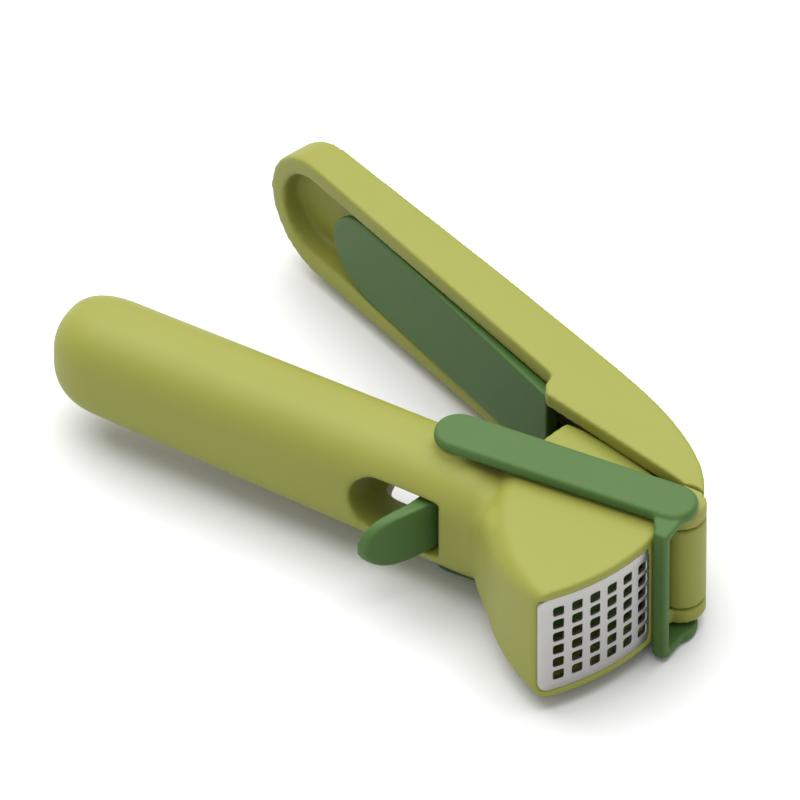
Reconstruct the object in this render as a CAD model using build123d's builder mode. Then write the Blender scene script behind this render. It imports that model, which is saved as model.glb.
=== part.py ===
from build123d import *
import math
import os

# Garlic press with a trigger-driven wiper, lying on its side.
# The hinge axis is +Z through the origin. The long handle points along -X, the grille faces +X.
# Z = 0 is the flat outer face of the lower wiper arm, which the press rests on.
# The press is the same above and below its middle plane, but for a flare behind one edge of the trigger
# slot and the spring on one side of the trigger's hub.

# ---- driving dimensions, millimetres ----
arm_outer = 23.0          # outer faces of the wiper arms, from the middle plane
arm_thickness = 3.3
mid = arm_outer           # height of the middle plane above the rest face

body_half = 18.7          # half height of the head and of the lever
knuckle_half = 13.8       # half height of the middle knuckle
knuckle_radius = 6.5
knuckle_gap = 0.3
pin_radius = 2.5
pin_clearance = 0.05
knuckle_wall = 0.9        # the outer knuckles close over the ends of the pin

pivot_x = -61.0           # wiper pivot, in the neck
pivot_y = -10.2
front_radius = 61.9       # front of the head, an arc about the wiper pivot
head_radius = 51.5        # outside of the chamber, an arc about the hinge
chamber_radius = 46.8     # inside of the chamber, about the hinge
chamber_half = 11.8
pocket_half = 13.0        # pocket just behind the holes of the grille
guide_radius = 46.3       # guide plates that carry the chamber on past the neck
guide_half = 13.6

handle_y = -12.7          # axis of the long handle
handle_end = -181.0
neck_end = -46.0
neck_half_y = 13.5
neck_half_z = 17.6
tail_half_y = 13.6
tail_half_z = 14.6
nose_length = 16.0
nose_bluntness = 0.7      # below 1 the end is blunter than an ellipse
nose_lean = 4.5           # the tip stands this far towards the lever
handle_roundness = 0.82   # corner radius of the handle's section, against its half width
corner_fillet = 3.5       # upright corner between the flared side and the front of the head

cover_x = -132.0          # cover of the hollow handle, seen from below
cover_y = 5.0
cover_length = 78.0
cover_width = 17.0
cover_depth = 8.0
cover_gap = 0.1
hollow_y = -3.0
hollow_length = 74.0
hollow_width = 13.0
hollow_depth = 18.5

slot_left = -85.0         # slot that the trigger travels in
slot_right = -58.1
slot_half = 9.4
hub_room = 0.6
flare_y = -12.0           # where the lower edge of the slot starts to fall away
flare_run = 12.0
flare_drop = 13.5
flare_length = 16.0
flare_overlap = 2.0

plate_inner = 60.6        # grille, an arc about the wiper pivot
plate_outer = 61.8
plate_half = 15.9
plate_from = -39.6
plate_to = -6.4
hole_size = 3.1
hole_corner = 0.7
plate_gap = 0.1
hole_rows = 6
hole_columns = 6
row_pitch = 4.46
column_pitch = 5.07       # degrees
column_first = -34.2

rest_opening = 19.5       # the lever is shown this far open, degrees
lever_end = -177.0
lever_wall = 5.4
rim_far_y = 6.8
rim_near_y = 4.7
cheek_x = -54.1
cheek_y = -1.1
cheek_inner = 14.0
cheek_clearance = 0.35    # round the outer knuckles

screw_x = -24.0           # the two plunger screws, in the floor of the tub
screw_y = 8.5
screw_side = 6.0          # each stands this far from the middle plane
shank_radius = 1.5
pilot_radius = 1.6
pilot_depth = 8.2
screw_head = 3.0
head_room = 3.2
recess_length = 3.6
recess_width = 0.8

blade_angle = -4.8        # wiper blade at rest, seen from the wiper pivot
blade_inner = 62.2
blade_outer = 66.6
blade_thickness = 2.4
lip_width = 0.8
lip_gap = 0.15            # between the lip and the front of the head
lip_short = 2.0           # the lip ends this far inside each arm
arm_angle = 5.5
arm_length = 61.3
arm_radius = 6.6
arm_edge = 1.2            # rounding of the arms' outer edges
lobe_radius = 2.3         # round the foot of the blade
lobe_step = 1.2           # the lobe stands this far in from the arm's outer face
boss_gap = 0.3            # between an arm and its boss
boss_inset = 0.4

axle_radius = 2.5
axle_square = 3.5
axle_fit = 0.1            # the square sockets are this much wider
socket_depth = 2.2
axle_reach = 2.0          # how far the axle goes into each arm
hub_radius = 5.6
trigger_half = 8.2
hub_half = 8.9
spring_radius = 4.3
spring_wire = 0.8
plunger_half = 11.4
plunger_gap = 0.6         # between the plunger and the chamber's curved wall
plunger_head = 5.5
pad_outer = 60.1
pad_inner = 58.1
tool_half = 12.8
tool_round = 16.0         # length of the tool's rounded tip
tool_tip = -152.0
tool_end = -57.4

middle = Plane.XY.offset(mid)
lever_plane = Plane(origin=(0, 0, mid), x_dir=Vector(1, 0, 0).rotate(Axis.Z, -rest_opening), z_dir=(0, 0, 1))


def at_pivot(radius, angle):
    """A point at a radius and a direction from the wiper pivot."""
    turn = math.radians(angle)
    return (pivot_x + radius * math.cos(turn), pivot_y + radius * math.sin(turn))


def handle_section(x, share):
    """Half sizes of the long handle at x, shrunk by share where its end rounds off."""
    along = (x - handle_end) / (neck_end - handle_end)
    half_y = tail_half_y + (neck_half_y - tail_half_y) * along
    half_z = tail_half_z + (neck_half_z - tail_half_z) * along
    return half_y * share, half_z * share


def handle_stock():
    """The outside of the long handle, from its rounded end to the neck."""
    with BuildPart() as stock:
        stations = []
        for step in range(1, 10):
            turn = math.radians(10 * step)
            stations.append((handle_end + nose_length * (1 - math.cos(turn)), math.sin(turn) ** nose_bluntness))
        stations.append((neck_end, 1.0))
        for x, share in stations:
            half_y, half_z = handle_section(x, share)
            centre_y = handle_y + nose_lean * (1 - share)
            plane = Plane(origin=(x, centre_y, mid), x_dir=(0, 1, 0), z_dir=(1, 0, 0))
            with BuildSketch(plane):
                RectangleRounded(2 * half_y, 2 * half_z, handle_roundness * half_y)
        loft(ruled=True)
    return stock.part


def cover_pocket(clearance):
    """Where the cover of the hollow handle lies, with a gap all round."""
    with BuildPart() as pocket:
        with BuildSketch(Plane(origin=(cover_x, cover_y, mid), x_dir=(1, 0, 0), z_dir=(0, 1, 0))):
            SlotOverall(cover_length + 2 * clearance, cover_width + 2 * clearance)
        extrude(amount=-cover_depth - clearance)
    return pocket.part


def grille_hole(row, column):
    """One square hole of the grille, cut along the radius from the wiper pivot."""
    angle = column_first + column * column_pitch
    height = (row - (hole_rows - 1) / 2) * row_pitch
    x, y = at_pivot(plate_inner - 2, angle)
    outward = (math.cos(math.radians(angle)), math.sin(math.radians(angle)), 0)
    with BuildPart() as hole:
        with BuildSketch(Plane(origin=(x, y, mid + height), x_dir=(0, 0, 1), z_dir=outward)):
            RectangleRounded(hole_size, hole_size, hole_corner)
        extrude(amount=5)
    return hole.part


def write_step(part, name):
    """Label a finished piece and write it."""
    part.label = name
    export_step(part, "parts/" + name + ".step")


os.makedirs("parts", exist_ok=True)

# ---- chamber body: long handle, neck, head and outer knuckles in one moulding ----
handle = handle_stock()

with BuildPart() as chamber_body:
    # head: inside the arc about the hinge and the arc about the wiper pivot, up to the step
    with BuildSketch(middle.offset(-body_half)):
        Circle(head_radius)
        with Locations((pivot_x, pivot_y)):
            Circle(front_radius, mode=Mode.INTERSECT)
        Polygon((-75, -4.6), (-8.7, 3.7), (10, 6.2), (10, 70), (-75, 70), align=None, mode=Mode.SUBTRACT)
    extrude(amount=2 * body_half)
    fillet(chamber_body.edges().filter_by(Axis.Z).sort_by(Axis.Y)[0], corner_fillet)
    # guide plates, which carry the chamber on past the neck
    with BuildSketch(middle.offset(-guide_half)):
        Circle(guide_radius)
        Polygon((-12.6, -15), (-12.6, 3.5), (-14.2, 10.2), (-27.8, 14.6), (-44, 15.3), (-60, 15.3), (-60, -15),
                align=None, mode=Mode.INTERSECT)
    extrude(amount=2 * guide_half)
    add(handle)
    with BuildSketch(middle.offset(0.1 - body_half)):
        Circle(knuckle_radius)
    extrude(amount=2 * (body_half - 0.1))
    # bosses that the wiper arms turn on
    with BuildSketch(middle.offset(boss_gap - arm_outer + arm_thickness)):
        with Locations((pivot_x, pivot_y)):
            Circle(arm_radius - boss_inset)
    extrude(amount=2 * (arm_outer - arm_thickness - boss_gap))
    # pressing chamber
    with BuildSketch(middle.offset(-chamber_half)):
        Circle(chamber_radius)
        with Locations((pivot_x, pivot_y)):
            Circle(plate_inner - 0.05, mode=Mode.INTERSECT)
    extrude(amount=2 * chamber_half, mode=Mode.SUBTRACT)
    # wider pocket just behind the holes
    with BuildSketch(middle.offset(-pocket_half)):
        with Locations((pivot_x, pivot_y)):
            Circle(plate_inner + 2)
            Circle(plate_inner - 3, mode=Mode.SUBTRACT)
        Polygon((pivot_x, pivot_y), at_pivot(80, plate_from + 2.2), at_pivot(80, plate_to - 1.2),
                align=None, mode=Mode.INTERSECT)
    extrude(amount=2 * pocket_half, mode=Mode.SUBTRACT)
    # seat of the grille
    with BuildSketch(middle.offset(-plate_half)):
        with Locations((pivot_x, pivot_y)):
            Circle(plate_inner + 4)
            Circle(plate_inner, mode=Mode.SUBTRACT)
        Polygon((pivot_x, pivot_y), at_pivot(80, plate_from), at_pivot(80, plate_to),
                align=None, mode=Mode.INTERSECT)
    extrude(amount=2 * plate_half, mode=Mode.SUBTRACT)
    # room for the middle knuckle, and the bore of the hinge pin
    with BuildSketch(middle.offset(-knuckle_half - knuckle_gap)):
        Circle(knuckle_radius + 0.5)
    extrude(amount=2 * (knuckle_half + knuckle_gap), mode=Mode.SUBTRACT)
    with BuildSketch(middle.offset(knuckle_wall - body_half)):
        Circle(pin_radius)
    extrude(amount=2 * (body_half - knuckle_wall), mode=Mode.SUBTRACT)
    # trigger slot, straight through the neck, with a round end towards the hand
    with BuildSketch(Plane(origin=(0, handle_y, mid), x_dir=(1, 0, 0), z_dir=(0, -1, 0))):
        with Locations((slot_left + slot_half, 0)):
            Circle(slot_half)
        with Locations(((slot_left + slot_half + slot_right) / 2, 0)):
            Rectangle(slot_right - slot_left - slot_half, 2 * slot_half)
    extrude(amount=30, both=True, mode=Mode.SUBTRACT)
    # room for the hub of the trigger, and a flare behind the lower edge of the slot
    with BuildSketch(middle.offset(-slot_half)):
        with Locations((pivot_x, pivot_y)):
            Circle(hub_radius + hub_room)
    extrude(amount=2 * slot_half, mode=Mode.SUBTRACT)
    with BuildSketch(Plane(origin=(slot_left + 1, 0, mid), x_dir=(0, 1, 0), z_dir=(1, 0, 0))):
        Polygon((flare_y, flare_overlap - slot_half), (flare_y, -slot_half),
                (flare_y + flare_run, -slot_half - flare_drop), (flare_y + flare_run, flare_overlap - slot_half),
                align=None)
    extrude(amount=flare_length, mode=Mode.SUBTRACT)
    # bearing of the wiper axle
    with BuildSketch(middle.offset(-arm_outer)):
        with Locations((pivot_x, pivot_y)):
            Circle(axle_radius + pin_clearance)
    extrude(amount=2 * arm_outer, mode=Mode.SUBTRACT)
    # hollow of the handle, and the rebate of its cover
    add(cover_pocket(cover_gap), mode=Mode.SUBTRACT)
    with BuildSketch(Plane(origin=(cover_x, hollow_y, mid), x_dir=(1, 0, 0), z_dir=(0, 1, 0))):
        SlotOverall(hollow_length, hollow_width)
    extrude(amount=-hollow_depth, mode=Mode.SUBTRACT)
write_step(chamber_body.part, "chamber_body")

# ---- cover of the hollow handle, flush with its outside ----
with BuildPart() as handle_cover:
    add(cover_pocket(0))
    add(handle, mode=Mode.INTERSECT)
write_step(handle_cover.part, "handle_cover")

# ---- grille: a curved steel plate with square holes ----
with BuildPart() as grille:
    with BuildSketch(middle.offset(plate_gap - plate_half)):
        with Locations((pivot_x, pivot_y)):
            Circle(plate_outer)
            Circle(plate_inner, mode=Mode.SUBTRACT)
        Polygon((pivot_x, pivot_y), at_pivot(80, plate_from + plate_gap), at_pivot(80, plate_to - plate_gap),
                align=None, mode=Mode.INTERSECT)
    extrude(amount=2 * (plate_half - plate_gap))
    for row in range(hole_rows):
        for column in range(hole_columns):
            add(grille_hole(row, column), mode=Mode.SUBTRACT)
write_step(grille.part, "grille")

# ---- hinge pin, pressed into the outer knuckles ----
with BuildPart() as hinge_pin:
    with BuildSketch(middle.offset(1.0 - body_half)):
        Circle(pin_radius)
    extrude(amount=2 * (body_half - 1.0))
    chamfer(hinge_pin.edges().filter_by(GeomType.CIRCLE), 0.3)
write_step(hinge_pin.part, "hinge_pin")

# ---- lever: a tub that opens towards the long handle, with cheeks and the middle knuckle ----
back_line = [(lever_end, 11.3), (-173.8, 15.4), (-163.5, 17.4), (-110, 18.9), (-55, 19.7),
             (-27.8, 18.5), (-14.1, 15.4), (-4.4, 11.0), (1.2, 6.0)]
inner_back = [(lever_end + 4, 11.6), (-166, 13.2), (-157, 14.2), (-110, 15.8), (-55, 16.6),
              (-27.8, 15.4), (-13.5, 11.5)]

screw_plane = Plane(origin=lever_plane.from_local_coords((screw_x, screw_y, 0)), x_dir=lever_plane.x_dir,
                    z_dir=lever_plane.y_dir)

with BuildPart() as upper_handle:
    with BuildSketch(lever_plane.offset(-body_half)):
        with BuildLine():
            Spline(*back_line)
            Polyline(back_line[-1], (0, 0), (-5.0, 4.9), (-8.1, 4.75), (cheek_x, cheek_y), (-57, 1.2),
                     (-58.5, rim_near_y), (lever_end, rim_far_y), back_line[0])
        make_face()
    extrude(amount=2 * body_half)
    # side outline: a bar with one round end
    with BuildSketch(Plane(origin=lever_plane.origin, x_dir=lever_plane.x_dir, z_dir=lever_plane.y_dir)):
        with Locations((lever_end + body_half, 0)):
            Circle(body_half)
        with Locations(((lever_end + body_half + 20) / 2, 0)):
            Rectangle(20 - lever_end - body_half, 2 * body_half)
    extrude(amount=60, both=True, mode=Mode.INTERSECT)
    # tub, between the walls of the grip
    with BuildSketch(Plane(origin=lever_plane.origin, x_dir=lever_plane.x_dir, z_dir=lever_plane.y_dir)):
        with Locations((lever_end + body_half, 0)):
            Circle(body_half - lever_wall)
        with Locations(((lever_end + body_half - 58) / 2, 0)):
            Rectangle(-58 - lever_end - body_half, 2 * (body_half - lever_wall))
        with Locations((-35.5, 0)):
            Rectangle(47, 2 * cheek_inner)
    tub = extrude(amount=40, both=True, mode=Mode.PRIVATE)
    with BuildSketch(lever_plane.offset(-body_half), mode=Mode.PRIVATE) as tub_plan:
        with BuildLine():
            Spline(*inner_back)
            Polyline(inner_back[-1], (-12, 4.8), (-12, -20), (lever_end + 4, -20), inner_back[0])
        make_face()
    tub_depth = extrude(tub_plan.sketch, amount=2 * body_half, mode=Mode.PRIVATE)
    add(tub.intersect(tub_depth), mode=Mode.SUBTRACT)
    # cheeks pass over the outer knuckles of the chamber body
    for low in (-body_half, knuckle_half):
        with BuildSketch(middle.offset(low)):
            Circle(knuckle_radius + cheek_clearance)
        extrude(amount=body_half - knuckle_half, mode=Mode.SUBTRACT)
    # middle knuckle
    with BuildSketch(middle.offset(-knuckle_half)):
        Circle(knuckle_radius)
    extrude(amount=2 * knuckle_half)
    # pilot holes of the two plunger screws
    with BuildSketch(screw_plane):
        with Locations((0, -screw_side), (0, screw_side)):
            Circle(pilot_radius)
    extrude(amount=pilot_depth, mode=Mode.SUBTRACT)
    with BuildSketch(middle.offset(-knuckle_half)):
        Circle(pin_radius + pin_clearance)
    extrude(amount=2 * knuckle_half, mode=Mode.SUBTRACT)
write_step(upper_handle.part, "upper_handle")

# ---- plunger: an arm screwed into the tub, with a curved pressing head ----
with BuildPart() as plunger:
    with BuildSketch(lever_plane.offset(-plunger_half)):
        with Locations((pivot_x, pivot_y)):
            Circle(pad_inner)
            Circle(pad_inner - plunger_head, mode=Mode.SUBTRACT)
        Circle(chamber_radius - plunger_gap, mode=Mode.INTERSECT)
        Polygon((-40, -8.6), (0, -8.6), (0, -60), (-40, -60), align=None, mode=Mode.INTERSECT)
        Polygon((-2.95, -8.6), (-6, -3), (-7.4, 3.0), (-12.3, 3.8), (-13.6, 9.6), (-30, 13.2), (-30, 8.5),
                (-19, 2), (-13, -10), (-10, -26), (-7, -20), align=None)
        Circle(knuckle_radius + 0.2, mode=Mode.SUBTRACT)
    extrude(amount=2 * plunger_half)
    with BuildSketch(screw_plane.offset(-8)):
        with Locations((0, -screw_side), (0, screw_side)):
            Circle(head_room)
    extrude(amount=8.1, mode=Mode.SUBTRACT)
    with BuildSketch(screw_plane):
        with Locations((0, -screw_side), (0, screw_side)):
            Circle(pilot_radius)
    extrude(amount=9, mode=Mode.SUBTRACT)
write_step(plunger.part, "plunger")

with BuildPart() as plunger_pad:
    with BuildSketch(lever_plane.offset(0.1 - plunger_half)):
        with Locations((pivot_x, pivot_y)):
            Circle(pad_outer)
            Circle(pad_inner, mode=Mode.SUBTRACT)
        Circle(chamber_radius - plunger_gap, mode=Mode.INTERSECT)
        Polygon((-40, -9.2), (2, -9.2), (2, -60), (-40, -60), align=None, mode=Mode.INTERSECT)
    extrude(amount=2 * (plunger_half - 0.1))
write_step(plunger_pad.part, "plunger_pad")

# ---- two screws that hold the plunger in the tub, with heads sunk in it ----
with BuildPart() as plunger_screws:
    with BuildSketch(screw_plane.offset(-2.1)):
        with Locations((0, -screw_side), (0, screw_side)):
            Circle(screw_head)
            Rectangle(recess_length, recess_width, mode=Mode.SUBTRACT)
            Rectangle(recess_width, recess_length, mode=Mode.SUBTRACT)
    extrude(amount=1.2)
    with BuildSketch(screw_plane.offset(-0.9)):
        with Locations((0, -screw_side), (0, screw_side)):
            Circle(screw_head)
    extrude(amount=1.0)
    with BuildSketch(screw_plane):
        with Locations((0, -screw_side), (0, screw_side)):
            Circle(shank_radius)
    extrude(amount=8)
write_step(plunger_screws.part, "plunger_screws")

# ---- cleaning tool: a scoop that clips into the tub ----
with BuildPart() as cleaning_tool:
    with BuildSketch(lever_plane.offset(-tool_half)):
        with BuildLine():
            Polyline((tool_tip, 7.4), (tool_end, 2.0), (tool_end, 6.0), (tool_tip, 9.4), (tool_tip, 7.4))
        make_face()
    extrude(amount=2 * tool_half)
    tool_side = Plane(origin=lever_plane.origin, x_dir=lever_plane.x_dir, z_dir=lever_plane.y_dir)
    with BuildSketch(tool_side):
        with Locations((tool_tip + tool_round, 0)):
            Ellipse(tool_round, tool_half)
        with Locations(((tool_tip + tool_round + tool_end) / 2, 0)):
            Rectangle(tool_end - tool_tip - tool_round, 2 * tool_half)
    extrude(amount=30, both=True, mode=Mode.INTERSECT)
    # two feet that stand on the floor of the tub
    foot_start = 6.4
    for x, foot_end in ((-80, 15.5), (-128, 14.6)):
        with BuildSketch(Plane(origin=lever_plane.from_local_coords((x, foot_start, 0)), x_dir=lever_plane.x_dir,
                               z_dir=lever_plane.y_dir)):
            RectangleRounded(8, 14, 2)
        extrude(amount=foot_end - foot_start)
write_step(cleaning_tool.part, "cleaning_tool")

# ---- wiper: two arms on the pivot, joined by an upright blade in front of the grille ----
arm_end = at_pivot(arm_length, arm_angle)
lobe_centre = at_pivot((blade_inner + blade_outer) / 2, blade_angle + 0.8)


def wiper_arm(side):
    """One flat arm; side is +1 above the body and -1 below it."""
    low = arm_outer - arm_thickness if side > 0 else -arm_outer
    lobe_low = low if side > 0 else low + lobe_step
    arm_middle = at_pivot(arm_length / 2, arm_angle)
    arm_plane = Plane(origin=(arm_middle[0], arm_middle[1], mid + low),
                      x_dir=(math.cos(math.radians(arm_angle)), math.sin(math.radians(arm_angle)), 0),
                      z_dir=(0, 0, 1))
    with BuildPart() as arm:
        with BuildSketch(arm_plane):
            SlotCenterToCenter(arm_length, 2 * arm_radius)
        extrude(amount=arm_thickness)
        outer_z = arm.faces().sort_by(Axis.Z)[-1 if side > 0 else 0]
        fillet(outer_z.edges(), arm_edge)
        # lobe beside the end of the arm, which carries the blade
        with BuildSketch(middle.offset(lobe_low)):
            with Locations(arm_end):
                Circle(arm_radius - arm_edge)
            with Locations(lobe_centre):
                Circle(lobe_radius)
            make_hull()
        extrude(amount=arm_thickness - lobe_step)
        # socket of the axle
        with BuildSketch(middle.offset(low if side > 0 else low + arm_thickness - socket_depth)):
            with Locations((pivot_x, pivot_y)):
                Rectangle(axle_square + axle_fit, axle_square + axle_fit)
        extrude(amount=socket_depth, mode=Mode.SUBTRACT)
    return arm.part


write_step(wiper_arm(1), "wiper_arm_top")
write_step(wiper_arm(-1), "wiper_arm_bottom")

blade_half = arm_outer - arm_thickness
blade_turn = math.radians(blade_angle)
blade_plane = Plane(origin=(pivot_x, pivot_y, mid - blade_half),
                    x_dir=(math.cos(blade_turn), math.sin(blade_turn), 0), z_dir=(0, 0, 1))
lip_root = blade_inner + 1.2

with BuildPart() as wiper_blade:
    with BuildSketch(blade_plane):
        with Locations(((blade_inner + blade_outer) / 2, 0)):
            Rectangle(blade_outer - blade_inner, blade_thickness)
        with Locations(((blade_inner + lip_root) / 2, 0)):
            Rectangle(lip_root - blade_inner, lip_width, mode=Mode.SUBTRACT)
    extrude(amount=2 * blade_half)
write_step(wiper_blade.part, "wiper_blade")

with BuildPart() as wiper_lip:
    with BuildSketch(blade_plane.offset(lip_short)):
        with Locations(((front_radius + lip_gap + lip_root) / 2, 0)):
            Rectangle(lip_root - front_radius - lip_gap, lip_width)
    extrude(amount=2 * (blade_half - lip_short))
write_step(wiper_lip.part, "wiper_lip")

# ---- trigger: a hub on the axle with a curved paddle ----
with BuildPart() as trigger:
    with BuildSketch(middle.offset(-trigger_half)):
        with BuildLine():
            Spline((-58.4, -12), (-59.4, -20), (-61.6, -27), (-65.0, -34), (-71.2, -43.5))
            Line((-71.2, -43.5), (-73.4, -42.6))
            Spline((-73.4, -42.6), (-68.4, -33.2), (-65.9, -27), (-64.5, -20), (-64.2, -12))
            Line((-64.2, -12), (-58.4, -12))
        make_face()
    extrude(amount=2 * trigger_half)
    with BuildSketch(Plane(origin=(0, 0, mid), x_dir=(0, 1, 0), z_dir=(1, 0, 0))):
        with Locations((-32.6, 0)):
            Ellipse(9.4, trigger_half)
        with Locations((-18.3, 0)):
            Rectangle(28.6, 2 * trigger_half)
    extrude(amount=100, both=True, mode=Mode.INTERSECT)
    with BuildSketch(middle.offset(-hub_half)):
        with Locations((pivot_x, pivot_y)):
            Circle(hub_radius)
    extrude(amount=2 * hub_half)
    # waist that the return spring sits round
    with BuildSketch(middle.offset(4.4)):
        with Locations((pivot_x, pivot_y)):
            Circle(hub_radius + 1.5)
            Circle(3.3, mode=Mode.SUBTRACT)
    extrude(amount=10, mode=Mode.SUBTRACT)
    with BuildSketch(middle.offset(-hub_half)):
        with Locations((pivot_x, pivot_y)):
            Rectangle(axle_square + axle_fit, axle_square + axle_fit)
    extrude(amount=2 * hub_half, mode=Mode.SUBTRACT)
write_step(trigger.part, "trigger")

# ---- axle: square in the hub and the arms, round in the walls of the neck ----
with BuildPart() as wiper_axle:
    with BuildSketch(middle.offset(-blade_half - axle_reach)):
        with Locations((pivot_x, pivot_y)):
            Rectangle(axle_square, axle_square)
    extrude(amount=2 * (blade_half + axle_reach))
    for low in (-blade_half + 0.1, slot_half - 0.3):
        with BuildSketch(middle.offset(low)):
            with Locations((pivot_x, pivot_y)):
                Circle(axle_radius)
        extrude(amount=blade_half - slot_half + 0.2)
write_step(wiper_axle.part, "wiper_axle")

# ---- return spring of the trigger, round the waist of its hub ----
with BuildPart() as return_spring:
    with BuildLine(Plane(origin=(pivot_x, pivot_y, mid + 5.2))) as coil:
        Helix(pitch=0.95, height=2.85, radius=spring_radius)
    with BuildSketch(Plane(origin=coil.line @ 0, z_dir=coil.line % 0)):
        Circle(spring_wire / 2)
    sweep(is_frenet=True)
write_step(return_spring.part, "return_spring")
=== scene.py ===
import math

import bmesh
import bpy
import numpy as np
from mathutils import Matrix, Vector


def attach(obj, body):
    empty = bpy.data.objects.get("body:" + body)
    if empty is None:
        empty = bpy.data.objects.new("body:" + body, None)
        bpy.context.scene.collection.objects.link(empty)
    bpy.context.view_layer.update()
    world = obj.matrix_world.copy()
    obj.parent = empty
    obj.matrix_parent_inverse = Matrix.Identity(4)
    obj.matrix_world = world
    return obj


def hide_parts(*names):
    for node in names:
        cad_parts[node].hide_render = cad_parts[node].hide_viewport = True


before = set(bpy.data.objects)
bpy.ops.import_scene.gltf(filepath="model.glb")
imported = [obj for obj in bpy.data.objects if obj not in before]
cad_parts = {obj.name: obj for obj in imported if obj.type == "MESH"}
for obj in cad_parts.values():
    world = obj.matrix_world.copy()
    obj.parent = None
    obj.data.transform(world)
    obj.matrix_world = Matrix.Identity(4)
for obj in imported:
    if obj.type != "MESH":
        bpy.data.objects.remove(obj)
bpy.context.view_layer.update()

# ---- Chamber body ----
# One injection moulding in glass-filled nylon, olive green: long handle, neck, head, pressing chamber and
# the two outer knuckles of the hinge. Its edges are eased by the mould and its skin has a fine satin grain.
mm = 0.001
pivot = np.array((-61.0, -10.2))
mid_height = 23.0


def joined_copy(name, nodes):
    """The CAD nodes as one mesh, with their loose triangles merged."""
    solid = bmesh.new()
    for node in nodes:
        solid.from_mesh(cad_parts[node].data)
    bmesh.ops.remove_doubles(solid, verts=solid.verts, dist=0.002 * mm)
    mesh = bpy.data.meshes.new(name)
    solid.to_mesh(mesh)
    solid.free()
    piece = bpy.data.objects.new(name, mesh)
    bpy.context.scene.collection.objects.link(piece)
    return piece


def made_plain(piece):
    """Turns what the piece's modifiers make into its own mesh, and removes them."""
    made = bpy.data.meshes.new_from_object(piece.evaluated_get(bpy.context.evaluated_depsgraph_get()))
    piece.modifiers.clear()
    piece.data = made
    return piece


def places(mesh):
    """The mesh's points, in millimetres."""
    flat = np.zeros(len(mesh.vertices) * 3)
    mesh.vertices.foreach_get("co", flat)
    return flat.reshape(-1, 3) / mm


def set_places(mesh, spots):
    mesh.vertices.foreach_set("co", (spots * mm).ravel())
    mesh.update()


def eased(mesh, rounds, share=1.0, pull=0.6):
    """Eases the edges: each point moves towards the middle of its neighbours, by pull times its share."""
    spots = places(mesh)
    ends = np.zeros(len(mesh.edges) * 2, int)
    mesh.edges.foreach_get("vertices", ends)
    first, second = ends.reshape(-1, 2).T
    count = np.bincount(first, minlength=len(spots)) + np.bincount(second, minlength=len(spots))
    step = pull * share / np.maximum(count, 1)
    for _ in range(rounds):
        for axis in range(3):
            line = spots[:, axis]
            total = np.bincount(first, line[second], len(spots))
            total += np.bincount(second, line[first], len(spots))
            spots[:, axis] = line + step * (total - count * line)
    set_places(mesh, spots)


def even_skin(piece, voxel):
    """Rebuilds the piece with an even skin of small quads."""
    skin = piece.modifiers.new("even_skin", "REMESH")
    skin.mode = "VOXEL"
    skin.voxel_size = voxel * mm
    skin.use_smooth_shade = True
    return made_plain(piece)


def near(value, centre, reach):
    """1 at the centre, falling smoothly to 0 well past the reach."""
    return np.exp(-((value - centre) / reach) ** 2)


def group_tree(name, inputs, outputs):
    """An empty shader node group with named inputs (name, kind, value) and outputs (name, kind)."""
    tree = bpy.data.node_groups.new(name, "ShaderNodeTree")
    for label, kind, value in inputs:
        socket = tree.interface.new_socket(name=label, in_out="INPUT", socket_type="NodeSocket" + kind)
        socket.default_value = value
    for label, kind in outputs:
        tree.interface.new_socket(name=label, in_out="OUTPUT", socket_type="NodeSocket" + kind)
    return tree, tree.nodes.new("NodeGroupInput"), tree.nodes.new("NodeGroupOutput")


def placed(tree, kind, settings=None, **inputs):
    """Adds a node, sets its settings, and sets or links each input (underscores stand for spaces)."""
    node = tree.nodes.new(kind)
    for key, value in (settings or {}).items():
        setattr(node, key, value)
    for key, value in inputs.items():
        socket = node.inputs[int(key[1:])] if key[0] == "_" else node.inputs[key.replace("_", " ")]
        if isinstance(value, bpy.types.NodeSocket):
            tree.links.new(value, socket)
        else:
            socket.default_value = value
    return node


def mould_grain_group():
    """Fine pebbled grain of a spark-eroded mould: a height, a normal, and a slow cloudiness."""
    tree, given, result = group_tree(
        "mould_grain",
        [("Grain per metre", "Float", 2600.0), ("Depth", "Float", 0.00004), ("Strength", "Float", 0.5)],
        [("Height", "Float"), ("Cloud", "Float"), ("Normal", "Vector")])
    spot = placed(tree, "ShaderNodeTexCoord").outputs["Object"]
    pebble = placed(tree, "ShaderNodeTexNoise", Vector=spot, Scale=given.outputs["Grain per metre"],
                    Detail=3.0, Roughness=0.6)
    cloud = placed(tree, "ShaderNodeTexNoise", Vector=spot, Scale=38.0, Detail=2.0, Roughness=0.5)
    bump = placed(tree, "ShaderNodeBump", Strength=given.outputs["Strength"], Distance=given.outputs["Depth"],
                  Height=pebble.outputs["Fac"])
    tree.links.new(pebble.outputs["Fac"], result.inputs["Height"])
    tree.links.new(cloud.outputs["Fac"], result.inputs["Cloud"])
    tree.links.new(bump.outputs["Normal"], result.inputs["Normal"])
    return tree


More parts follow.
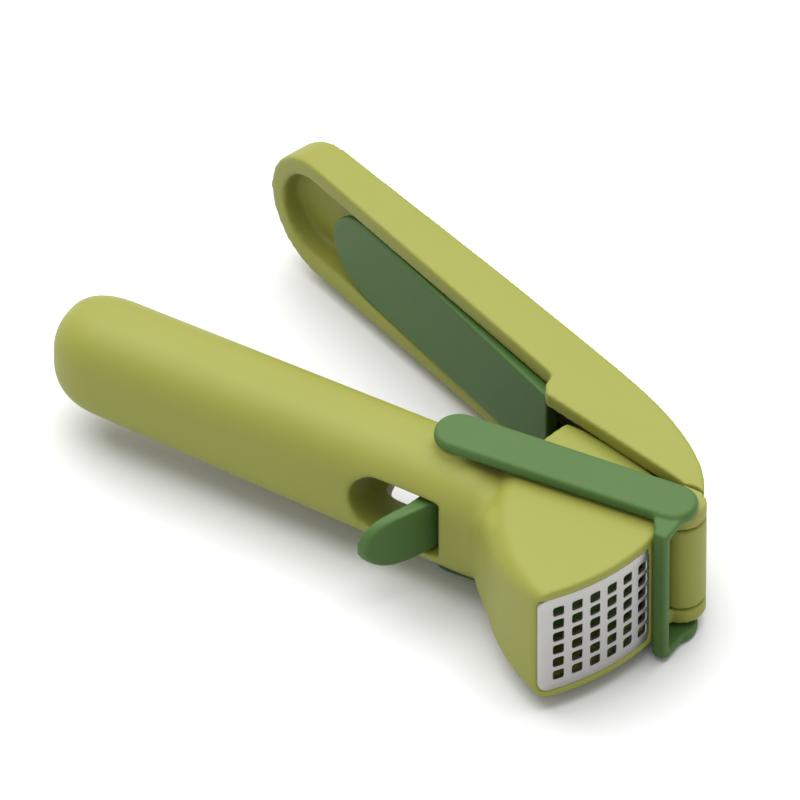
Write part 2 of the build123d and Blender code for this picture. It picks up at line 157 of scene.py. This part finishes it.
def edge_highlight_group():
    """Painted highlight on edges: a mask that is 1 on the most exposed edges, broken up by noise, where the
    colour is lightened as if light glinted there.
    """
    tree, given, result = group_tree(
        "painted_edge_highlight", [("From", "Float", 0.52), ("To", "Float", 0.60), ("Amount", "Float", 0.5)],
        [("Mask", "Float")])
    spot = placed(tree, "ShaderNodeTexCoord").outputs["Object"]
    sharp = placed(tree, "ShaderNodeNewGeometry").outputs["Pointiness"]
    rise = placed(tree, "ShaderNodeMapRange", Value=sharp, From_Min=given.outputs["From"],
                  From_Max=given.outputs["To"])
    patch = placed(tree, "ShaderNodeTexNoise", Vector=spot, Scale=420.0, Detail=4.0, Roughness=0.65)
    broken = placed(tree, "ShaderNodeMath", {"operation": "MULTIPLY"}, _0=rise.outputs["Result"],
                    _1=patch.outputs["Fac"])
    scaled = placed(tree, "ShaderNodeMath", {"operation": "MULTIPLY", "use_clamp": True},
                    _0=broken.outputs["Value"], _1=given.outputs["Amount"])
    tree.links.new(scaled.outputs["Value"], result.inputs["Mask"])
    return tree


mould_grain = mould_grain_group()
# the mask for the painted highlight on exposed edges
painted_edge_highlight = edge_highlight_group()


def blended(tree, share, low, high):
    """A colour between low and high, by share."""
    return placed(tree, "ShaderNodeMix", {"data_type": "RGBA"}, _0=share, _6=low, _7=high).outputs[2]


def nylon(name, deep, bright, highlight_colour, roughness, grain=2600.0, depth=0.00004):
    """Moulded nylon: cloudy colour from deep to bright, paler on exposed edges as a painted highlight, under a
    satin grain.
    """
    material = bpy.data.materials.new(name)
    material.use_nodes = True
    tree = material.node_tree
    shader = tree.nodes["Principled BSDF"]
    skin = placed(tree, "ShaderNodeGroup", {"node_tree": mould_grain}, Depth=depth, Grain_per_metre=grain)
    painted_highlight = placed(tree, "ShaderNodeGroup", {"node_tree": painted_edge_highlight})
    cloudy = blended(tree, skin.outputs["Cloud"], deep, bright)
    # painted highlight: exposed edges take the paler colour
    colour = blended(tree, painted_highlight.outputs["Mask"], cloudy, highlight_colour)
    rough = placed(tree, "ShaderNodeMapRange", Value=skin.outputs["Height"], From_Min=0.3, From_Max=0.7,
                   To_Min=roughness[0], To_Max=roughness[1])
    tree.links.new(colour, shader.inputs["Base Color"])
    tree.links.new(rough.outputs["Result"], shader.inputs["Roughness"])
    tree.links.new(skin.outputs["Normal"], shader.inputs["Normal"])
    shader.inputs["Specular IOR Level"].default_value = 0.25
    return material


def finished(piece, material, body, slot_name, *nodes):
    """Gives a piece its material and body, and hides the CAD nodes that it stands for; the slot name is not
    used.
    """
    piece.data.materials.clear()
    piece.data.materials.append(material)
    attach(piece, body)
    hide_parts(*nodes)


# the third colour is the painted highlight on exposed edges
light_nylon = nylon("light_nylon", (0.228, 0.238, 0.039, 1), (0.242, 0.251, 0.045, 1), (0.32, 0.335, 0.08, 1),
                    (0.44, 0.56))

body_moulding = even_skin(joined_copy("body_moulding", ["chamber_body"]), 0.65)
spots = places(body_moulding.data)
from_hinge = np.hypot(spots[:, 0], spots[:, 1])
from_pivot = np.hypot(spots[:, 0] - pivot[0], spots[:, 1] - pivot[1])
level = np.abs(spots[:, 2] - mid_height)

# the edge between the flared side of the head and its flat faces is round at the neck, tighter in front
flare_half = 18.7
flare_radius = 51.5
neck_x = -46.0
neck_edge, front_edge = 10.5, 4.0
edge_change_length = 30.0
edge_band = 2.2
towards_front = np.clip((spots[:, 0] - neck_x) / edge_change_length, 0, 1)
edge_radius = neck_edge - (neck_edge - front_edge) * towards_front
from_side = flare_radius - from_hinge
from_face = flare_half - level
rounded = (spots[:, 1] < -4) & (spots[:, 0] < -8) & (from_side < edge_radius) & (from_side > -1)
rounded &= (from_face < edge_radius) & ((from_side < edge_band) | (from_face < edge_band))
out_side, out_face = edge_radius - from_side, edge_radius - from_face
reach = np.where(rounded, edge_radius / np.maximum(np.hypot(out_side, out_face), 1e-6), 1.0)
reach = np.minimum(reach, 1.0)
new_side = edge_radius - out_side * reach
new_face = edge_radius - out_face * reach
new_hinge = flare_radius - new_side
new_level = mid_height + np.sign(spots[:, 2] - mid_height) * (flare_half - new_face)
spots[:, :2] *= np.where(rounded, new_hinge / np.maximum(from_hinge, 1e-6), 1.0)[:, None]
spots[:, 2] = np.where(rounded, new_level, spots[:, 2])

# the flared side sweeps outwards where it runs into the underside of the neck
sweep_out = 2.6
sweep_start_y = -36.0
sweep_length = 9.5
sweep_end_y, sweep_front_x = -25, -38
sweep_inner, sweep_outer = 48.5, 53
reach = np.hypot(spots[:, 0], spots[:, 1])
sweep = np.clip((spots[:, 1] - sweep_start_y) / sweep_length, 0, 1) ** 2
sweep *= (spots[:, 1] < sweep_end_y) & (spots[:, 0] < sweep_front_x) & (reach > sweep_inner)
sweep *= reach < sweep_outer
spots[:, :2] *= (1 + sweep_out * sweep / flare_radius)[:, None]
set_places(body_moulding.data, spots)

# the rim round the grille and the knuckles stay crisp, and the neck runs softly into the head
rim_radius, rim_width, rim_back_x, rim_half = 61.5, 2.2, -20, 17.5
knuckle_radius, knuckle_width = 7.0, 2.5
crisp = np.maximum(near(from_pivot, rim_radius, rim_width) * (spots[:, 0] > rim_back_x) * (level < rim_half),
                   near(from_hinge, knuckle_radius, knuckle_width) * (level > 10))
eased(body_moulding.data, 7, 1 - 0.85 * crisp)
blend_width, blend_inner = 6.0, 50.6
outside_slot = (level > 11) | (spots[:, 0] > -52)
blend = near(spots[:, 0], neck_x, blend_width) * (from_hinge > blend_inner) * outside_slot
eased(body_moulding.data, 60, blend)
finished(body_moulding, light_nylon, "press_body", "light_nylon", "chamber_body")

# ---- Handle cover ----
# A long oval lid in the same nylon, welded over the hollow of the long handle and flush with it.
cover_moulding = even_skin(joined_copy("cover_moulding", ["handle_cover"]), 0.5)
eased(cover_moulding.data, 3)
finished(cover_moulding, light_nylon, "press_body", "light_nylon", "handle_cover")

# ---- Grille ----
# A stainless plate, stamped with square holes and rolled to the arc that the wiper follows. It is
# moulded into the front of the head, almost flush, with its corners rounded.
plate_radius = 61.8
plate_thickness = 1.2
plate_low, plate_high = -39.5, -6.5
plate_half = 16.1
hole_half = 1.55
hole_corner = 0.6
hole_edge = 0.16
rows, columns = 6, 6
row_pitch = 4.46
column_turn = 5.07
first_turn = -34.2
column_pitch = math.radians(column_turn) * plate_radius
cell_steps = 4


def rounded_outline(half_wide, half_high, corners, steps):
    """Points round a rectangle from its lower right, anticlockwise, with a radius for each corner."""
    points = []
    turns = [(1, -1, -90, corners[0]), (1, 1, 0, corners[1]), (-1, 1, 90, corners[2]),
             (-1, -1, 180, corners[3])]
    for side, up, start, corner in turns:
        for step in range(steps + 1):
            turn = math.radians(start + 90 * step / steps)
            points.append((side * (half_wide - corner) + corner * math.cos(turn),
                           up * (half_high - corner) + corner * math.sin(turn)))
    return points


def square_ring(half_wide, half_high, count):
    """Points evenly along the four sides of a rectangle from its lower right, count to a side."""
    corners = [(half_wide, -half_high), (half_wide, half_high), (-half_wide, half_high),
               (-half_wide, -half_high)]
    points = []
    for index, start in enumerate(corners):
        end = corners[(index + 1) % 4]
        for step in range(count):
            share = step / count
            points.append((start[0] + share * (end[0] - start[0]), start[1] + share * (end[1] - start[1])))
    return points


def stacked_rings(name, rings):
    """A mesh whose rings of points, given as (points, depth), are joined one to the next."""
    shell = bmesh.new()
    loops = [[shell.verts.new((x * mm, z * mm, depth * mm)) for x, z in points] for points, depth in rings]
    for lower, upper in zip(loops, loops[1:]):
        count = len(lower)
        for index in range(count):
            after = (index + 1) % count
            shell.faces.new((lower[index], lower[after], upper[after], upper[index]))
    mesh = bpy.data.meshes.new(name)
    shell.to_mesh(mesh)
    shell.free()
    return mesh


def hole_cell():
    """One cell of the plate: a square of sheet with a round-cornered square hole, edges broken."""
    side = rounded_outline(hole_half, hole_half, [hole_corner] * 4, cell_steps - 1)
    face = rounded_outline(hole_half + hole_edge, hole_half + hole_edge, [hole_corner + hole_edge] * 4,
                           cell_steps - 1)
    outside = square_ring(column_pitch / 2, row_pitch / 2, cell_steps)
    outside = outside[-cell_steps // 2:] + outside[:-cell_steps // 2]
    return stacked_rings("hole_cell", [(outside, -plate_thickness), (side, -plate_thickness),
                                       (side, -hole_edge), (face, 0), (outside, 0)])


cell = bpy.data.objects.new("hole_cell", hole_cell())
bpy.context.scene.collection.objects.link(cell)

field_wide = columns * column_pitch / 2
field_high = rows * row_pitch / 2
field_centre = math.radians(first_turn + column_turn * (columns - 1) / 2) * plate_radius
plate_left = math.radians(plate_low) * plate_radius - field_centre
plate_right = math.radians(plate_high) * plate_radius - field_centre


def plate_border():
    """The margin round the field of holes, with rolled outer edges."""
    count = columns * cell_steps
    inner = square_ring(field_wide, field_high, count)
    rings = [(inner, -plate_thickness)]
    for shrink, depth in ((0.0, -plate_thickness), (0.0, -0.5), (0.15, -0.15), (0.5, 0.0)):
        ring = []
        for x, z in inner:
            share_x = (x + field_wide) / (2 * field_wide)
            wide_x = plate_left + shrink + share_x * (plate_right - plate_left - 2 * shrink)
            wide_z = z / field_high * (plate_half - shrink)
            ring.append((wide_x, wide_z))
        rings.append((ring, depth))
    rings.append((inner, 0.0))
    return stacked_rings("grille_plate", rings)


def rounded_corner(mesh, radius):
    """Pulls the outline's two left corners in to a radius."""
    for vertex in mesh.vertices:
        x, z = vertex.co.x / mm, vertex.co.y / mm
        corner_x, corner_z = plate_left + radius, plate_half - radius
        out_x, out_z = corner_x - x, abs(z) - corner_z
        if out_x > 0 and out_z > 0:
            reach = max(out_x, out_z)
            scale = reach / math.hypot(out_x, out_z)
            vertex.co.x = (corner_x - out_x * scale) * mm
            vertex.co.y = math.copysign(corner_z + out_z * scale, z) * mm


def perforated_plate_tree():
    """Holes on a grid, joined to the border and rolled round an axis."""
    tree = bpy.data.node_groups.new("perforated_plate", "GeometryNodeTree")
    tree.is_modifier = True
    kinds = [("Border", "Geometry"), ("Cell", "Object"), ("Columns", "Int"), ("Rows", "Int"),
             ("Column pitch", "Float"), ("Row pitch", "Float"), ("Radius", "Float"), ("Turn", "Float"),
             ("Axis", "Vector"), ("Material", "Material")]
    sockets = {label: tree.interface.new_socket(name=label, in_out="INPUT", socket_type="NodeSocket" + kind)
               for label, kind in kinds}
    tree.interface.new_socket(name="Plate", in_out="OUTPUT", socket_type="NodeSocketGeometry")
    given = tree.nodes.new("NodeGroupInput").outputs
    result = tree.nodes.new("NodeGroupOutput")

    def sum_of(kind, left, right):
        return placed(tree, "ShaderNodeMath", {"operation": kind}, _0=left, _1=right).outputs[0]

    wide = sum_of("MULTIPLY", sum_of("SUBTRACT", given["Columns"], 1.0), given["Column pitch"])
    high = sum_of("MULTIPLY", sum_of("SUBTRACT", given["Rows"], 1.0), given["Row pitch"])
    grid = placed(tree, "GeometryNodeMeshGrid", Size_X=wide, Size_Y=high, Vertices_X=given["Columns"],
                  Vertices_Y=given["Rows"])
    source = placed(tree, "GeometryNodeObjectInfo", Object=given["Cell"])
    holes = placed(tree, "GeometryNodeInstanceOnPoints", Points=grid.outputs["Mesh"],
                   Instance=source.outputs["Geometry"])
    solid = placed(tree, "GeometryNodeRealizeInstances", Geometry=holes.outputs["Instances"])
    whole = tree.nodes.new("GeometryNodeJoinGeometry")
    tree.links.new(given["Border"], whole.inputs[0])
    tree.links.new(solid.outputs["Geometry"], whole.inputs[0])
    merged = placed(tree, "GeometryNodeMergeByDistance", Geometry=whole.outputs["Geometry"],
                    Distance=0.01 * mm)
    flat = placed(tree, "ShaderNodeSeparateXYZ", Vector=placed(tree, "GeometryNodeInputPosition").outputs[0])
    turn = sum_of("ADD", sum_of("DIVIDE", flat.outputs["X"], given["Radius"]), given["Turn"])
    reach = sum_of("ADD", given["Radius"], flat.outputs["Z"])
    rolled = placed(tree, "ShaderNodeCombineXYZ", X=sum_of("MULTIPLY", reach, sum_of("COSINE", turn, 0.0)),
                    Y=sum_of("MULTIPLY", reach, sum_of("SINE", turn, 0.0)), Z=flat.outputs["Y"])
    moved = placed(tree, "ShaderNodeVectorMath", {"operation": "ADD"}, _0=rolled.outputs[0], _1=given["Axis"])
    bent = placed(tree, "GeometryNodeSetPosition", Geometry=merged.outputs["Geometry"],
                  Position=moved.outputs["Vector"])
    lone = placed(tree, "GeometryNodeRealizeInstances", Geometry=bent.outputs["Geometry"])
    painted = placed(tree, "GeometryNodeSetMaterial", Geometry=lone.outputs["Geometry"],
                     Material=given["Material"])
    tree.links.new(painted.outputs["Geometry"], result.inputs["Plate"])
    return tree, {label: socket.identifier for label, socket in sockets.items()}


def steel(name, tint, roughness, stretch):
    """Rolled stainless steel: fine lines along one direction, cloudy gloss, brighter edges as a painted
    highlight.
    """
    material = bpy.data.materials.new(name)
    material.use_nodes = True
    tree = material.node_tree
    shader = tree.nodes["Principled BSDF"]
    spot = placed(tree, "ShaderNodeTexCoord").outputs["Object"]
    drawn = placed(tree, "ShaderNodeMapping", Vector=spot, Scale=stretch)
    lines = placed(tree, "ShaderNodeTexNoise", Vector=drawn.outputs["Vector"], Scale=1.0, Detail=4.0)
    cloud = placed(tree, "ShaderNodeTexNoise", Vector=spot, Scale=160.0, Detail=2.0)
    mixed = placed(tree, "ShaderNodeMath", {"operation": "ADD"}, _0=lines.outputs["Fac"],
                   _1=cloud.outputs["Fac"])
    rough = placed(tree, "ShaderNodeMapRange", Value=mixed.outputs[0], From_Min=0.7, From_Max=1.3,
                   To_Min=roughness[0], To_Max=roughness[1])
    painted_highlight = placed(tree, "ShaderNodeGroup", {"node_tree": painted_edge_highlight}, Amount=0.4)
    dull = blended(tree, lines.outputs["Fac"], [0.9 * part for part in tint] + [1], list(tint) + [1])
    # painted highlight: exposed edges take a paler steel colour
    colour = blended(tree, painted_highlight.outputs["Mask"], dull, (0.62, 0.62, 0.61, 1))
    bump = placed(tree, "ShaderNodeBump", Strength=0.25, Distance=0.00001, Height=lines.outputs["Fac"])
    tree.links.new(colour, shader.inputs["Base Color"])
    tree.links.new(rough.outputs["Result"], shader.inputs["Roughness"])
    tree.links.new(bump.outputs["Normal"], shader.inputs["Normal"])
    shader.inputs["Metallic"].default_value = 1.0
    return material


grille_steel = steel("grille_steel", (0.43, 0.425, 0.41), (0.32, 0.46), (900.0, 900.0, 4200.0))
plate_tree, plate_inputs = perforated_plate_tree()
border = plate_border()
rounded_corner(border, 3.0)
grille_plate = bpy.data.objects.new("grille_plate", border)
bpy.context.scene.collection.objects.link(grille_plate)
stamping = grille_plate.modifiers.new("stamping", "NODES")
stamping.node_group = plate_tree
plate_sizes = {"Cell": cell, "Columns": columns, "Rows": rows, "Column pitch": column_pitch * mm,
               "Row pitch": row_pitch * mm, "Radius": plate_radius * mm, "Turn": field_centre / plate_radius,
               "Axis": (pivot[0] * mm, pivot[1] * mm, mid_height * mm), "Material": grille_steel}
for label, value in plate_sizes.items():
    stamping[plate_inputs[label]] = value
made_plain(grille_plate)
bpy.data.objects.remove(cell)
grille_plate.data.shade_smooth()
grille_plate.data.set_sharp_from_angle(angle=math.radians(35))
finished(grille_plate, grille_steel, "press_body", "grille_steel", "grille")

# ---- Hinge pin ----
# A ground stainless pin, pressed into the outer knuckles; the lever's knuckle turns on it.
pin_steel = steel("pin_steel", (0.66, 0.66, 0.66), (0.25, 0.4), (700.0, 700.0, 5000.0))


def repainted(node, material):
    """Gives a CAD node that stays visible a finished material."""
    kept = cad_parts[node]
    kept.data.materials.clear()
    kept.data.materials.append(material)


repainted("hinge_pin", pin_steel)

# ---- Lever ----
# The upper handle: a deep tub moulded in the same nylon, open towards the long handle, with two cheeks
# that straddle the chamber and the middle knuckle of the hinge.
lever_moulding = even_skin(joined_copy("lever_moulding", ["upper_handle"]), 0.65)
spots = places(lever_moulding.data)
from_hinge = np.hypot(spots[:, 0], spots[:, 1])
eased(lever_moulding.data, 6, 1 - 0.8 * near(from_hinge, knuckle_radius, knuckle_width))
finished(lever_moulding, light_nylon, "lever", "light_nylon", "upper_handle")

# ---- Plunger and pad ----
# The pressing arm, moulded in dark green nylon and screwed into the tub, with a curved pad that fits the
# grille.
# the third colour is the painted highlight on exposed edges
dark_nylon = nylon("dark_nylon", (0.049, 0.110, 0.023, 1), (0.056, 0.121, 0.027, 1), (0.09, 0.17, 0.06, 1),
                   (0.46, 0.58), 2800.0)
plunger_moulding = even_skin(joined_copy("plunger_moulding", ["plunger"]), 0.5)
eased(plunger_moulding.data, 5)
finished(plunger_moulding, dark_nylon, "lever", "dark_nylon", "plunger")
pad_moulding = even_skin(joined_copy("pad_moulding", ["plunger_pad"]), 0.4)
eased(pad_moulding.data, 4)
finished(pad_moulding, dark_nylon, "lever", "dark_nylon", "plunger_pad")

# ---- Plunger screws ----
# Two stainless thread-forming screws with cross recesses, sunk in the foot of the plunger.
repainted("plunger_screws", pin_steel)

# ---- Cleaning tool ----
# A scoop in dark green nylon that clips into the tub of the lever, with a rounded tip and a flat end.
tool_moulding = even_skin(joined_copy("tool_moulding", ["cleaning_tool"]), 0.4)
eased(tool_moulding.data, 8)
finished(tool_moulding, dark_nylon, "lever", "dark_nylon", "cleaning_tool")

# ---- Wiper frame ----
# Two flat arms and the upright blade between them, in dark green nylon, which swing over the grille.
frame_moulding = joined_copy("frame_moulding", ["wiper_arm_top", "wiper_arm_bottom"])
blade = joined_copy("blade_part", ["wiper_blade"])
blade_spots = places(blade.data)
blade_into_arms = 1.08
blade_spots[:, 2] = mid_height + (blade_spots[:, 2] - mid_height) * blade_into_arms
set_places(blade.data, blade_spots)
both = bmesh.new()
both.from_mesh(frame_moulding.data)
both.from_mesh(blade.data)
both.to_mesh(frame_moulding.data)
both.free()
bpy.data.objects.remove(blade)
even_skin(frame_moulding, 0.38)
eased(frame_moulding.data, 8)
finished(frame_moulding, dark_nylon, "wiper", "dark_nylon", "wiper_arm_top", "wiper_arm_bottom", "wiper_blade")

# ---- Wiper lip ----
# A soft strip let into the edge of the blade, which wipes the face of the grille.
# the third colour is the painted highlight on exposed edges
soft_lip = nylon("soft_lip", (0.075, 0.15, 0.06, 1), (0.09, 0.17, 0.07, 1), (0.12, 0.2, 0.1, 1),
                 (0.7, 0.85), 3500.0)
repainted("wiper_lip", soft_lip)

# ---- Trigger ----
# A curved finger paddle with a hub that turns in the slot of the neck, in dark green nylon.
trigger_moulding = even_skin(joined_copy("trigger_moulding", ["trigger"]), 0.4)
eased(trigger_moulding.data, 8)
finished(trigger_moulding, dark_nylon, "wiper", "dark_nylon", "trigger")

# ---- Wiper axle and return spring ----
# A stainless axle, square where it drives the arms and the hub, and the wire spring that turns it back.
repainted("wiper_axle", pin_steel)
repainted("return_spring", pin_steel)

# ---- Floor, light and camera ----
# A plain white table under one large soft overhead light, seen from above the front of the press.
table_mesh = bpy.data.meshes.new("table")
table_half = 4.0
table_corners = [(-table_half, -table_half, 0), (table_half, -table_half, 0), (table_half, table_half, 0),
                 (-table_half, table_half, 0)]
table_mesh.from_pydata(table_corners, [], [(0, 1, 2, 3)])
table = bpy.data.objects.new("table", table_mesh)
bpy.context.scene.collection.objects.link(table)
paper = bpy.data.materials.new("paper")
paper.use_nodes = True
paper_shader = paper.node_tree.nodes["Principled BSDF"]
paper_spot = placed(paper.node_tree, "ShaderNodeTexCoord").outputs["Object"]
paper_fibre = placed(paper.node_tree, "ShaderNodeTexNoise", Vector=paper_spot, Scale=60.0, Detail=2.0)
paper.node_tree.links.new(
    blended(paper.node_tree, paper_fibre.outputs["Fac"], (0.70, 0.70, 0.70, 1), (0.72, 0.72, 0.72, 1)),
    paper_shader.inputs["Base Color"])
paper_shader.inputs["Roughness"].default_value = 0.9
paper_shader.inputs["Specular IOR Level"].default_value = 0.1
table_mesh.materials.append(paper)

world = bpy.data.worlds.new("studio")
world.use_nodes = True
world.node_tree.nodes["Background"].inputs["Color"].default_value = (1, 1, 1, 1)
world.node_tree.nodes["Background"].inputs["Strength"].default_value = 0.73
bpy.context.scene.world = world
overhead = bpy.data.lights.new("overhead", "SUN")
overhead.energy = 3.9
overhead.angle = math.radians(75)
overhead_lamp = bpy.data.objects.new("overhead", overhead)
overhead_lamp.rotation_euler = (math.radians(-12), math.radians(-14), 0)
bpy.context.scene.collection.objects.link(overhead_lamp)

view_turn = math.radians(31.3)
view_rise = math.radians(43.0)
aim = Vector((-93.06, 13.07, mid_height - 0.9)) * mm
towards_camera = Vector((math.sin(view_turn) * math.cos(view_rise),
                         -math.cos(view_turn) * math.cos(view_rise), math.sin(view_rise)))
view_width = 207.8
lens = bpy.data.cameras.new("camera")
lens.lens = 1500
lens.sensor_width = 36
lens.clip_end = 50
camera = bpy.data.objects.new("camera", lens)
camera.location = aim + towards_camera * (view_width * mm * lens.lens / lens.sensor_width)
camera.rotation_euler = (-towards_camera).to_track_quat("-Z", "Y").to_euler()
bpy.context.scene.collection.objects.link(camera)
bpy.context.scene.camera = camera
bpy.context.scene.view_settings.view_transform = "Standard"
